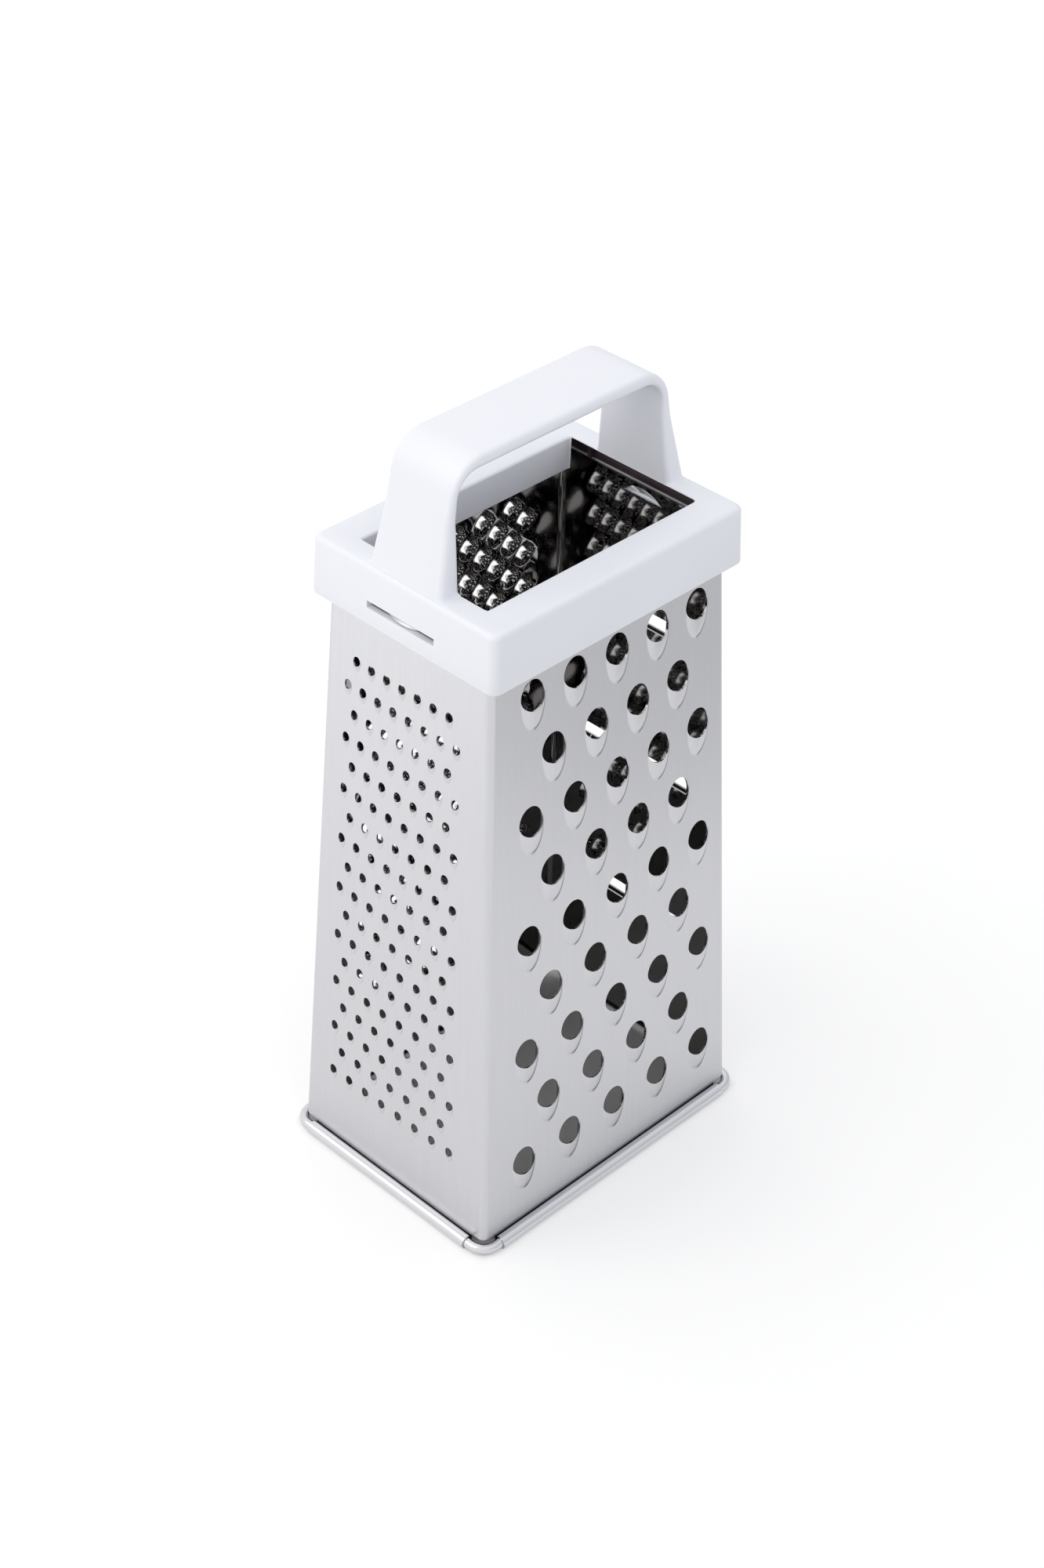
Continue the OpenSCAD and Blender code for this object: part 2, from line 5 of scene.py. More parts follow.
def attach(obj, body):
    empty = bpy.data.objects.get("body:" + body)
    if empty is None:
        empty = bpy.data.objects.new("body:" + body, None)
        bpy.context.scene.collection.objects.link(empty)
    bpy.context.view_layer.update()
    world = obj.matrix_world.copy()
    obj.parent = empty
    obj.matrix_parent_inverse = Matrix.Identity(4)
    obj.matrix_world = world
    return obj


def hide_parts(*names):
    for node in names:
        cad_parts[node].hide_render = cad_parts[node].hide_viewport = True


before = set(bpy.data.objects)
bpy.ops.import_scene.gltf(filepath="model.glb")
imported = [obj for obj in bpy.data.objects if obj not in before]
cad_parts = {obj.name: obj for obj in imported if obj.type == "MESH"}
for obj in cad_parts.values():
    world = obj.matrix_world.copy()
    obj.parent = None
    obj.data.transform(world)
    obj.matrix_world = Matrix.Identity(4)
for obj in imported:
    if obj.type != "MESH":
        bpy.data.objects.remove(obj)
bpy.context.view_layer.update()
mm = 0.001
print("frame loaded")

# sizes that the walls of the tube share, in mm; relief is the height of the notches beside the hems
tube = {"halfLength": 52.0, "halfWidth": 38.5, "lean": 2.4, "sheet": 0.5, "foldRadius": 2.0,
        "top": 200.3, "relief": 4.2, "hemLine": 1.935, "hemHalfLength": 46.82, "hemHalfWidth": 33.32,
        "bowLength": 200}
lean = math.radians(tube["lean"])

# camera of the photograph, in m and degrees
cameraView = {"place": (-0.470637, -0.458239, 0.609284), "azimuth": -45.711, "elevation": 36.632,
              "roll": 1.3, "lens": 67.03, "sensor": 36}


def addCamera(view):
    azimuth, elevation, roll = (math.radians(view[k]) for k in ("azimuth", "elevation", "roll"))
    back = Vector((math.sin(azimuth) * math.cos(elevation), -math.cos(azimuth) * math.cos(elevation),
                   math.sin(elevation)))
    right = (-back).cross(Vector((0, 0, 1))).normalized()
    up = right.cross(-back)
    tiltedRight = right * math.cos(roll) + up * math.sin(roll)
    tiltedUp = -right * math.sin(roll) + up * math.cos(roll)
    data = bpy.data.cameras.new("photoCamera")
    data.lens = view["lens"]
    data.sensor_width = view["sensor"]
    data.clip_start = 0.01
    data.clip_end = 20
    camera = bpy.data.objects.new("photoCamera", data)
    bpy.context.scene.collection.objects.link(camera)
    camera.matrix_world = Matrix.Translation(view["place"]) @ Matrix(
        (tiltedRight, tiltedUp, back)).transposed().to_4x4()
    bpy.context.scene.camera = camera


addCamera(cameraView)
print("camera placed")


# small helpers for the node trees
def feed(tree, node, values):
    for socket, value in values.items():
        if isinstance(value, bpy.types.NodeSocket):
            tree.links.new(value, node.inputs[socket])
        else:
            node.inputs[socket].default_value = value


def addNode(tree, kind, values, output=0):
    node = tree.nodes.new("ShaderNode" + kind)
    feed(tree, node, values)
    return node.outputs[output]


def mathNode(tree, operation, *values):
    node = tree.nodes.new("ShaderNodeMath")
    node.operation = operation
    feed(tree, node, dict(enumerate(values)))
    return node.outputs[0]


def vectorNode(tree, operation, first, second, output):
    node = tree.nodes.new("ShaderNodeVectorMath")
    node.operation = operation
    feed(tree, node, {0: first, 1: second})
    return node.outputs[output]


def rangeNode(tree, value, source, target, smooth=False):
    node = tree.nodes.new("ShaderNodeMapRange")
    node.interpolation_type = "SMOOTHSTEP" if smooth else "LINEAR"
    feed(tree, node, {"Value": value, "From Min": source[0], "From Max": source[1],
                      "To Min": target[0], "To Max": target[1]})
    return node.outputs["Result"]


def mixNode(tree, factor, first, second):
    node = tree.nodes.new("ShaderNodeMix")
    node.data_type = "RGBA"
    feed(tree, node, {"Factor": factor, 6: first, 7: second})
    return node.outputs[2]


def rampNode(tree, factor, stops):
    node = tree.nodes.new("ShaderNodeValToRGB")
    feed(tree, node, {"Fac": factor})
    for element, (place, colour) in zip(node.color_ramp.elements, stops):
        element.position = place
        element.color = (*colour, 1)
    return node.outputs["Color"]


def newMaterial(name):
    material = bpy.data.materials.new(name)
    material.use_nodes = True
    tree = material.node_tree
    place = tree.nodes.new("ShaderNodeTexCoord").outputs["Object"]
    return material, tree, tree.nodes["Principled BSDF"], place


# sheet of the tube: brushed outside, bright polished inside, whose darker colour is painted shade of the
# tube's hollow; heights in m
sheetFinish = {"outside": (0.63, 0.63, 0.65), "inside": (0.34, 0.33, 0.325), "roughOutside": 0.34,
               "roughInside": 0.04, "wear": 0.02, "wearScale": 18, "grain": 0.05, "grainTone": 0.03,
               "grainScale": (900, 900, 14),  # the rolled grain runs up the sheet
               "footShadeHeight": 0.0038, "footShadeTone": 0.1,  # behind the rolled hems the foot lies in the dark
               "creaseShadeHeights": (0.03, 0.19), "creaseShadeDepth": (0.95, 0.5)}  # darker low on the wall


def makeSheetSteel(finish):
    material, tree, shader, place = newMaterial("sheetSteel")
    # walls lie 30 to 52 mm from the middle, so facing is above zero outside and below zero inside
    level = vectorNode(tree, "MULTIPLY", place, (1, 1, 0), "Vector")
    normal = tree.nodes.new("ShaderNodeNewGeometry").outputs["Normal"]
    facing = vectorNode(tree, "DOT_PRODUCT", level, normal, "Value")
    outside = rangeNode(tree, facing, (-0.006, 0.006), (0, 1))
    stretched = addNode(tree, "Mapping", {"Vector": place, "Scale": finish["grainScale"]})
    grain = addNode(tree, "TexNoise", {"Vector": stretched, "Scale": 1, "Detail": 3}, "Fac")
    cloud = addNode(tree, "TexNoise", {"Vector": place, "Scale": finish["wearScale"]}, "Fac")

    height = addNode(tree, "SeparateXYZ", {0: place}, "Z")
    # painted shade: the foot of each wall, behind the rolled hems, is darkened
    foot = rangeNode(tree, height, (finish["footShadeHeight"] - 0.0003, finish["footShadeHeight"] + 0.0003),
                     (finish["footShadeTone"], 1))
    # painted shade along the creases beside the teeth, darker low on the wall
    crease = tree.nodes.new("ShaderNodeAttribute")
    crease.attribute_name = "paintedCreaseShade"
    creaseShadeLoss = rangeNode(tree, height, finish["creaseShadeHeights"], [-dark for dark in finish["creaseShadeDepth"]])
    creaseShadeFactor = mathNode(tree, "MULTIPLY_ADD", crease.outputs["Fac"], creaseShadeLoss, 1)
    grainAndShade = rangeNode(tree, grain, (0, 1), (1 - finish["grainTone"], 1 + finish["grainTone"]))
    grainAndShade = mathNode(tree, "MULTIPLY", mathNode(tree, "MULTIPLY", grainAndShade, foot), creaseShadeFactor)
    # polished inside, coloured darker than the outside as painted shade of the tube's hollow
    colour = mixNode(tree, outside, (*finish["inside"], 1), (*finish["outside"], 1))

    rough = rangeNode(tree, outside, (0, 1), (finish["roughInside"], finish["roughOutside"]))
    wear = mathNode(tree, "MULTIPLY_ADD", cloud, 2 * finish["wear"], -finish["wear"])
    strength = mathNode(tree, "MULTIPLY", outside, finish["grain"])
    feed(tree, shader, {
        "Metallic": 1,
        "Base Color": addNode(tree, "HueSaturation", {"Color": colour, "Value": grainAndShade}),
        "Roughness": mathNode(tree, "ADD", rough, wear),
        "Normal": addNode(tree, "Bump", {"Strength": strength, "Distance": 0.0001, "Height": grain})})
    return material


wireFinish = {"colour": (0.72, 0.72, 0.74), "rough": 0.16, "roughSpread": 0.05, "drawnScale": 160}


def makeWireSteel(finish):
    material, tree, shader, place = newMaterial("wireSteel")
    drawn = addNode(tree, "TexNoise", {"Vector": place, "Scale": finish["drawnScale"], "Detail": 4}, "Fac")
    spread = (finish["rough"] - finish["roughSpread"], finish["rough"] + finish["roughSpread"])
    feed(tree, shader, {"Metallic": 1, "Base Color": (*finish["colour"], 1),
                        "Roughness": rangeNode(tree, drawn, (0, 1), spread)})
    return material


# painted shade: the hollow between the mouth's short edges and the ends of the tube is coloured dark; its
# places in m
plasticFinish = {"colour": (0.875, 0.885, 0.935), "shades": (0.985, 1.012), "cloudScale": 25,
                 "rough": 0.34, "roughSpread": 0.03, "texture": 0.06, "poreScale": 1400,
                 "hollowShadeColour": (0.05, 0.034, 0.036), "hollowAlong": (0.0391, 0.0452),
                 "hollowHeight": (0.1999, 0.2072), "hollowHalfWidth": 0.0325}


def makeWhitePlastic(finish):
    material, tree, shader, place = newMaterial("whitePlastic")
    pores = addNode(tree, "TexNoise", {"Vector": place, "Scale": finish["poreScale"], "Detail": 2}, "Fac")
    cloud = addNode(tree, "TexNoise", {"Vector": place, "Scale": finish["cloudScale"]}, "Fac")
    parts = tree.nodes.new("ShaderNodeSeparateXYZ")
    feed(tree, parts, {0: place})
    along = mathNode(tree, "ABSOLUTE", parts.outputs["X"])
    across = mathNode(tree, "ABSOLUTE", parts.outputs["Y"])
    # painted shade mask for the hollow under the mouth's short edges
    hollowShade = mathNode(tree, "LESS_THAN", across, finish["hollowHalfWidth"])
    for value, limits in ((along, finish["hollowAlong"]), (parts.outputs["Z"], finish["hollowHeight"])):
        for test, limit in zip(("GREATER_THAN", "LESS_THAN"), limits):
            hollowShade = mathNode(tree, "MULTIPLY", hollowShade, mathNode(tree, test, value, limit))
    low, high = (tuple(min(1, part * shade) for part in finish["colour"]) for shade in finish["shades"])
    white = rampNode(tree, cloud, ((0.3, low), (0.7, high)))
    spread = (finish["rough"] - finish["roughSpread"], finish["rough"] + finish["roughSpread"])
    feed(tree, shader, {
        "Base Color": mixNode(tree, hollowShade, white, (*finish["hollowShadeColour"], 1)),
        "Roughness": rangeNode(tree, cloud, (0, 1), spread),
        "Normal": addNode(tree, "Bump", {"Strength": finish["texture"], "Distance": 0.0001,
                                         "Height": pores}),
        "IOR": 1.5})
    return material


sheetSteel = makeSheetSteel(sheetFinish)
wireSteel = makeWireSteel(wireFinish)
whitePlastic = makeWhitePlastic(plasticFinish)
print("materials made")


def addPiece(name, bm, material, nodes, sharpAngle=35):
    for face in bm.faces:
        face.smooth = True
    mesh = bpy.data.meshes.new(name)
    bm.to_mesh(mesh)
    bm.free()
    mesh.set_sharp_from_angle(angle=math.radians(sharpAngle))
    mesh.materials.append(material)
    piece = bpy.data.objects.new(name, mesh)
    bpy.context.scene.collection.objects.link(piece)
    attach(piece, "root")
    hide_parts(*nodes)
    print(name, "has", sum(len(p.vertices) - 2 for p in mesh.polygons), "triangles")


def faceMiddles(bm):
    return [(face, face.calc_center_median()) for face in bm.faces]


# punched walls, laid out flat in mm with u across and v up the sheet
def onFace(turn, halfDepth):
    return (Matrix.Rotation(math.radians(turn), 4, "Z") @ Matrix.Translation((0, -halfDepth * mm, 0))
            @ Matrix.Rotation(math.pi / 2 - lean, 4, "X"))


def faceHalf(fullHalf, height):
    return fullHalf - tube["foldRadius"] * math.cos(lean) - height * math.sin(lean)


def latticePlace(wall, across, row):
    # teeth stand closer together towards the narrow top
    pitch = wall["pitchLow"] + (wall["pitchHigh"] - wall["pitchLow"]) * row / (wall["rows"] - 1)
    return wall["shift"] + across * pitch / 2, wall["first"] + row * wall["rise"]


def bowOut(wall, u, v):
    across = 1 - (u / faceHalf(wall["fullHalf"], v)) ** 2
    return wall["bow"] * max(0, across) * math.sin(math.pi * max(0, min(1, v / tube["bowLength"])))


def perimeterAngle(across, up):
    # place of a point on its diamond as an angle, 0 at the right corner
    part = abs(up) / max(1e-9, abs(across) + abs(up))
    if across >= 0:
        part = part if up >= 0 else 4 - part
    else:
        part = 2 - part if up >= 0 else 2 + part
    return part * math.pi / 2


def layLattice(bm, wall):
    # each punched tooth gets one face of a lattice of diamonds, and each corner knows the teeth around it
    segments = wall["blocks"] * wall["cuts"]
    bmesh.ops.create_grid(bm, x_segments=segments, y_segments=segments, size=wall["blocks"] / 2)
    blocks = {}
    for face, middle in faceMiddles(bm):
        blocks.setdefault((round(middle.x), round(middle.y)), []).append(face)
    teeth, centres = [], {}
    for (a, b), faces in blocks.items():
        across, row = a - b, a + b + wall["middleRow"]
        count = wall["perRow"] - (0 if row % 2 == wall["fullParity"] else 1)
        if 0 <= row < wall["rows"] and abs(across) < count:
            face = bmesh.ops.dissolve_faces(bm, faces=faces, use_verts=False)["region"][0]
            angles = [perimeterAngle(v.co.x - v.co.y - across, v.co.x + v.co.y - a - b)
                      for v in face.verts]
            centres[across, row] = latticePlace(wall, across, row)
            teeth.append((face, centres[across, row], angles))
    spare = [v for v in bm.verts if not v.link_faces]
    bmesh.ops.delete(bm, geom=spare, context="VERTS")
    owners = {}
    for vert in bm.verts:
        across, row = vert.co.x - vert.co.y, vert.co.x + vert.co.y + wall["middleRow"]
        near = [(a, b) for a in range(math.floor(across), math.ceil(across) + 1)
                for b in range(math.floor(row), math.ceil(row) + 1)]
        owners[vert] = [centres[key] for key in near if key in centres]
        vert.co = (*latticePlace(wall, across, row), 0)
    return teeth, owners


def punchTeeth(bm, teeth, rings, owners):
    # each ring's painted crease shade is kept on its vertices
    creaseShadeLayer = bm.verts.layers.float["paintedCreaseShade"]
    faces = [face for face, centre, angles in teeth]
    for ring in rings:
        bmesh.ops.inset_individual(bm, faces=faces, thickness=1e-4, depth=0, use_even_offset=True)
        for face, centre, angles in teeth:
            for vert, angle in zip(face.verts, angles):
                du, dv, dark = ring(angle)
                vert.co = (centre[0] + du, centre[1] + dv, 0)
                vert[creaseShadeLayer] = dark
                owners[vert] = [centre]
    bmesh.ops.delete(bm, geom=faces, context="FACES_ONLY")


def cutSheet(bm, place, normal, trim=False):
    bmesh.ops.bisect_plane(bm, geom=bm.verts[:] + bm.edges[:] + bm.faces[:], dist=1e-5, plane_co=place,
                           plane_no=normal, clear_outer=trim)


def trimSheet(bm, wall):
    # the outline of the wall, notched beside the hem at both lower corners
    half, hemHalf = faceHalf(wall["fullHalf"], 0), wall["hemHalf"]
    relief = tube["relief"] / math.cos(lean)
    cutSheet(bm, (half, 0, 0), (math.cos(lean), math.sin(lean), 0), trim=True)
    cutSheet(bm, (-half, 0, 0), (-math.cos(lean), math.sin(lean), 0), trim=True)
    cutSheet(bm, (0, tube["hemLine"], 0), (0, -1, 0), trim=True)
    cutSheet(bm, (0, tube["top"] / math.cos(lean), 0), (0, 1, 0), trim=True)
    cutSheet(bm, (0, relief, 0), (0, 1, 0))
    cutSheet(bm, (hemHalf, 0, 0), (1, 0, 0))
    cutSheet(bm, (-hemHalf, 0, 0), (-1, 0, 0))
    corners = [face for face, middle in faceMiddles(bm)
               if middle.y < relief and abs(middle.x) > hemHalf]
    bmesh.ops.delete(bm, geom=corners, context="FACES")


def cutWithin(bm, faces, place, normal):
    edges = dict.fromkeys(edge for face in faces for edge in face.edges)
    verts = dict.fromkeys(vert for face in faces for vert in face.verts)
    bmesh.ops.bisect_plane(bm, geom=[*verts, *edges, *faces], dist=1e-5, plane_co=place, plane_no=normal)


def facesNear(bm, half, low, high):
    return [face for face, middle in faceMiddles(bm)
            if abs(middle.x) < half and low < middle.y < high]


def cutCatch(bm, catch):
    # a fine grid where the catch is pressed out, parted from the sheet along its lower line
    half, line, top = catch["half"], catch["line"], catch["line"] + catch["ramp"]
    around = catch["around"]
    for place, normal in (((half, 0, 0), (1, 0, 0)), ((-half, 0, 0), (1, 0, 0)), ((0, line, 0), (0, 1, 0)),
                          ((0, top, 0), (0, 1, 0))):
        cutWithin(bm, facesNear(bm, half + around, line - around, top + around), place, normal)
    for step in range(1, catch["steps"]):
        across = half * (2 * step / catch["steps"] - 1)
        cutWithin(bm, facesNear(bm, half, line, top), (across, 0, 0), (1, 0, 0))
    for share in catch["levels"]:
        cutWithin(bm, facesNear(bm, half, line, top), (0, line + catch["ramp"] * share, 0), (0, 1, 0))
    parted = [edge for edge in bm.edges
              if all(abs(v.co.y - line) < 1e-4 and abs(v.co.x) < half + 1e-4 for v in edge.verts)]
    bmesh.ops.split_edges(bm, edges=parted)


def catchBump(catch, vert):
    # the catch is part of a ball: a round segment that reaches furthest out at its cut edge
    if any(face.calc_center_median().y < catch["line"] for face in vert.link_faces):
        return 0
    circle = (catch["half"] ** 2 + catch["reach"] ** 2) / (2 * catch["reach"])
    drop = (catch["half"] ** 2 - catch["ramp"] ** 2) / (2 * catch["ramp"])
    level = circle ** 2 + drop ** 2 - (vert.co.y - catch["line"] + drop) ** 2 - vert.co.x ** 2
    return max(0, math.sqrt(max(0, level)) - circle + catch["reach"])


def makeWall(name, wall, rings, bump, node):
    bm = bmesh.new()
    bm.verts.layers.float.new("paintedCreaseShade")
    teeth, owners = layLattice(bm, wall)
    punchTeeth(bm, teeth, rings, owners)
    trimSheet(bm, wall)
    if "catch" in wall:
        cutCatch(bm, wall["catch"])
    for vert in bm.verts:
        raised = max([bump(vert.co.x - u, vert.co.y - v) for u, v in owners.get(vert, [])] + [0])
        if "catch" in wall:
            raised = max(raised, catchBump(wall["catch"], vert))
        vert.co.z = bowOut(wall, vert.co.x, vert.co.y) + raised
    bmesh.ops.solidify(bm, geom=bm.faces[:], thickness=tube["sheet"])
    bmesh.ops.scale(bm, vec=(mm, mm, mm), verts=bm.verts)
    bmesh.ops.transform(bm, matrix=onFace(wall["turn"], wall["depth"]), verts=bm.verts)
    addPiece(name, bm, sheetSteel, [node])


# scooped teeth of the coarse and the fine wall: an oval hole whose lower rim is a cutting lip, and the
# tongue of metal that rises to it
def tongueWidth(s, down):
    return s["tongueHalf"] * max(0, 1 - down ** 2.5) ** s["blunt"]


def scoopRing(s, share, crease):
    # share 0 is the edge of the hole and 1 the foot of the tongue, whose right flank gets a painted dark
    # crease shade
    def ring(angle):
        across, up = math.cos(angle), math.sin(angle)
        if up > 0:
            hole = Vector((s["halfWidth"] * across, s["top"] * up))
            foot = Vector(((s["halfWidth"] + s["margin"] * 0.3) * across,
                           s["tongueTop"] * (1 - up) + (s["top"] + s["margin"]) * up))
        else:
            hole = Vector((s["halfWidth"] * across, s["bottom"] * up))
            foot = Vector((math.copysign(tongueWidth(s, -up), across),
                           s["tongueTop"] + s["tongueLength"] * up))
        outward = Vector((across, 0.35 * up)).normalized() * max(0, share - 1) * s["creaseWidth"]
        place = hole + (foot - hole) * min(1, share) + outward
        # the painted crease shade is darkest at the lower right, and gone at the side and at the tip
        dark = min(1, 2.3 * (max(0, across) * max(0, -up)) ** 0.5)
        return place.x, place.y, dark * crease
    return ring


def scoopBump(s):
    def bump(u, v):
        down = (s["tongueTop"] - v) / s["tongueLength"]
        if not 0 < down < 1:
            return 0
        level = max(0, 1 - (u / tongueWidth(s, down)) ** 2) ** (s["flank"] if u > 0 else s["softFlank"])
        tail = s["tongueLength"] - s["tongueTop"] - s["bottom"]
        ridge = min(1, (1 - down) * s["tongueLength"] / tail) ** s["fade"]
        start = min(1, (s["tongueTop"] - v) / (s["tongueTop"] * 1.5))
        return s["rise"] * ridge * start * level
    return bump


# rings are pairs of a share and of how dark the painted crease shade is there, from the flat sheet in to
# the hole
coarseWall = {"turn": 0, "depth": tube["halfWidth"], "fullHalf": tube["halfLength"],
              "hemHalf": tube["hemHalfLength"], "bow": 1.2, "blocks": 13, "cuts": 12, "middleRow": 4,
              "rows": 9, "perRow": 5, "fullParity": 0, "first": 25.2, "rise": 19.497, "pitchLow": 18.47,
              "pitchHigh": 15.6, "shift": 1.5,
              "scoop": {"halfWidth": 4.1, "top": 4.9, "bottom": 4.0, "rise": 1.2, "tongueHalf": 4.15,
                        "tongueTop": 0.8, "tongueLength": 11.0, "margin": 0.35, "blunt": 0.5,
                        "flank": 0.36, "softFlank": 1.2, "fade": 0.65, "creaseWidth": 4.0},
              "rings": ((1.2, 0), (1.1, 0.95), (1, 0.85), (0.97, 0), (0.92, 0), (0.8, 0), (0.6, 0),
                        (0.4, 0), (0.2, 0), (0, 0))}
fineWall = {"turn": -90, "depth": tube["halfLength"], "fullHalf": tube["halfWidth"],
            "hemHalf": tube["hemHalfWidth"], "bow": 1.3, "blocks": 25, "cuts": 4, "middleRow": 9,
            "rows": 18, "perRow": 8, "fullParity": 0, "first": 29.0, "rise": 8.54, "pitchLow": 6.998,
            "pitchHigh": 5.886, "shift": -1.3,
            "scoop": {"halfWidth": 1.35, "top": 1.45, "bottom": 1.3, "rise": 0.48, "tongueHalf": 1.37,
                      "tongueTop": 0.25, "tongueLength": 3.7, "margin": 0.12, "blunt": 0.75,
                      "flank": 0.65, "softFlank": 0.65, "fade": 1.1, "creaseWidth": 1.0},
            "rings": ((1.19, 0), (1.09, 0.5), (1, 0), (0.85, 0), (0.45, 0), (0, 0)),
            "catch": {"half": 8.3, "line": 195.95, "ramp": 2.6, "reach": 2.9, "steps": 14,
                      "levels": (0.12, 0.28, 0.48, 0.72), "around": 7}}

for name, wall, node in (("coarseWall", coarseWall, "coarse_face"), ("fineWall", fineWall, "fine_face")):
    rings = [scoopRing(wall["scoop"], share, crease) for share, crease in wall["rings"]]
    makeWall(name, wall, rings, scoopBump(wall["scoop"]), node)

# star burrs: a round dish with a soft rim, and four torn points standing round a small hole in it; rings
# are pairs of a radius and of how square the ring is, from the flat sheet in to the hole
starWall = {"turn": 180, "depth": tube["halfWidth"], "fullHalf": tube["halfLength"],
            "hemHalf": tube["hemHalfLength"], "bow": 0.1, "blocks": 29, "cuts": 4, "middleRow": 14,
            "rows": 29, "perRow": 6, "fullParity": 1, "first": 26.3, "rise": 5.749, "pitchLow": 12.918,
            "pitchHigh": 10.904, "shift": -1.8,
            "burr": {"radius": 5.59, "depth": 4.19, "rim": 3.7, "rimSlope": 0.88, "soft": 0.25,
                     "foot": 2.6, "hole": 2.2, "point": 1.3},
            "rings": ((3.95, 0), (3.6, 0), (3.1, 0.1), (2.8, 0.6), (2.6, 1), (2.2, 1))}


def starRing(radius, square):
    def ring(angle):
        turned = (angle % (math.pi / 2)) - math.pi / 4
        reach = radius * ((1 - square) + square * math.sqrt(0.5) / math.cos(turned))
        return reach * math.cos(angle), reach * math.sin(angle), 0
    return ring


def starBump(s):
    def bump(u, v):
        distance = math.hypot(u, v)
        inside = min(distance, s["rim"])
        dish = math.sqrt(s["radius"] ** 2 - inside ** 2) - s["depth"] - s["rimSlope"] * (distance - inside)
        soft = (dish + math.hypot(dish, s["soft"])) / 2
        if abs(u) + abs(v) > (s["foot"] + s["hole"]) / 2:
            return soft
        # the points are tallest in the middle of each side of the square hole
        corner = abs(abs(u) - abs(v)) / (abs(u) + abs(v))
        return soft + s["point"] * (1 - corner)
    return bump


makeWall("starWall", starWall, [starRing(*ring) for ring in starWall["rings"]],
         starBump(starWall["burr"]), "star_face")
print("walls punched")

# collar, in mm; footRound holds pairs of an inset and a height above the bottom
collarSizes = {"top": 207.6, "bottom": 190.1, "halfLength": 46.6, "halfWidth": 34.1, "lean": 2.0,
               "corner": 2.6, "innerCorner": 1.2, "cornerSteps": 6, "edge": 1.5, "plate": 1.9,
               "wall": 1.8, "footRound": ((0.5, 0), (0.12, 0.15), (0, 0.6)), "mouthHalfLength": 39.0,
               "mouthHalfWidth": 23.2, "mouthCorner": 0.8, "mouthEdge": 0.9, "shortEdge": 0.2,
               "shortLand": 0.3, "undercut": 50, "lipDepth": 10.3, "lipWall": 1.8, "lipRound": 0.4,
               "slotHalf": 12.5, "slotLow": 195.2, "slotHigh": 197.3, "ribThick": 1.2, "ribGap": 0.15,
               "ribOverlap": 0.75, "ribInWall": 1.0, "longRibFromEnd": 13.0, "longRibInner": 29.65,
               "shortRibFromEnd": 3.2, "shortRibInner": 43.2}


def roundedLoop(c, halfX, halfY, corner):
    # a rounded rectangle with points at the ends of the slots on both narrow sides
    points = []
    for turn in range(4):
        along, across = (halfX, halfY) if turn % 2 == 0 else (halfY, halfX)
        if turn % 2 == 0:
            side = [c["slotHalf"] * share for share in (-1, -1 / 3, 1 / 3, 1)]
        else:
            side = [(across - corner) * share for share in (-0.9, -0.45, 0, 0.45, 0.9)]
        quarter = [Vector((along, y, 0)) for y in side]
        for step in range(c["cornerSteps"] + 1):
            angle = math.pi / 2 * step / c["cornerSteps"]
            quarter.append(Vector((along - corner + corner * math.cos(angle),
                                   across - corner + corner * math.sin(angle), 0)))
        points += [Matrix.Rotation(math.pi / 2 * turn, 3, "Z") @ p for p in quarter]
    return points


def skirtLoop(c, inset, corner, height):
    wider = (c["top"] - height) * math.tan(math.radians(c["lean"])) - inset
    points = roundedLoop(c, c["halfLength"] + wider, c["halfWidth"] + wider, corner)
    return [Vector((p.x, p.y, height)) for p in points]


def mouthLoop(c, wider, widerY, height, lipHeight):
    # the points within 0.35 mm of the long sides hang lower, to form the lips
    halfWidth = c["mouthHalfWidth"] + widerY
    points = roundedLoop(c, c["mouthHalfLength"] + wider, halfWidth, c["mouthCorner"] + wider)
    return [Vector((p.x, p.y, lipHeight if abs(p.y) > halfWidth - 0.35 else height)) for p in points]


def collarLoops(c):
    # up the outer skin, over the top, down the mouth and its lips, and down the inner skin; the roundings
    # go by angles in radians
    top, edge = c["top"], c["edge"]
    loops = [skirtLoop(c, inset, c["corner"], c["bottom"] + up) for inset, up in c["footRound"]]
    for height in (c["slotLow"], c["slotHigh"], top - edge):
        loops.append(skirtLoop(c, 0, c["corner"], height))
    for angle in (0.35, 0.8, 1.2, 1.571):
        loops.append(skirtLoop(c, edge * (1 - math.cos(angle)), c["corner"],
                               top - edge * (1 - math.sin(angle))))
    for angle in (1.571, 1.1, 0.6, 0.2):
        outward, down = 1 - math.cos(angle), 1 - math.sin(angle)
        loops.append(mouthLoop(c, c["shortEdge"] * outward, c["mouthEdge"] * outward,
                               top - c["shortEdge"] * down, top - c["mouthEdge"] * down))
    land, under, lipEnd = top - c["shortLand"], top - c["plate"], top - c["lipDepth"]
    slope = math.tan(math.radians(c["undercut"]))
    lipWall, lipRound = c["lipWall"], c["lipRound"]
    for wider, widerY, lipHeight in ((0, 0, lipEnd + lipRound), (lipRound, lipRound, lipEnd),
                                     (1.0, lipWall - lipRound, lipEnd), (1.5, lipWall, lipEnd + lipRound),
                                     ((land - under) * slope, lipWall, under)):
        loops.append(mouthLoop(c, wider, widerY, land - wider / slope, lipHeight))
    for height in (under, c["slotHigh"], c["slotLow"], c["bottom"]):
        loops.append(skirtLoop(c, c["wall"], c["innerCorner"], height))
    return loops


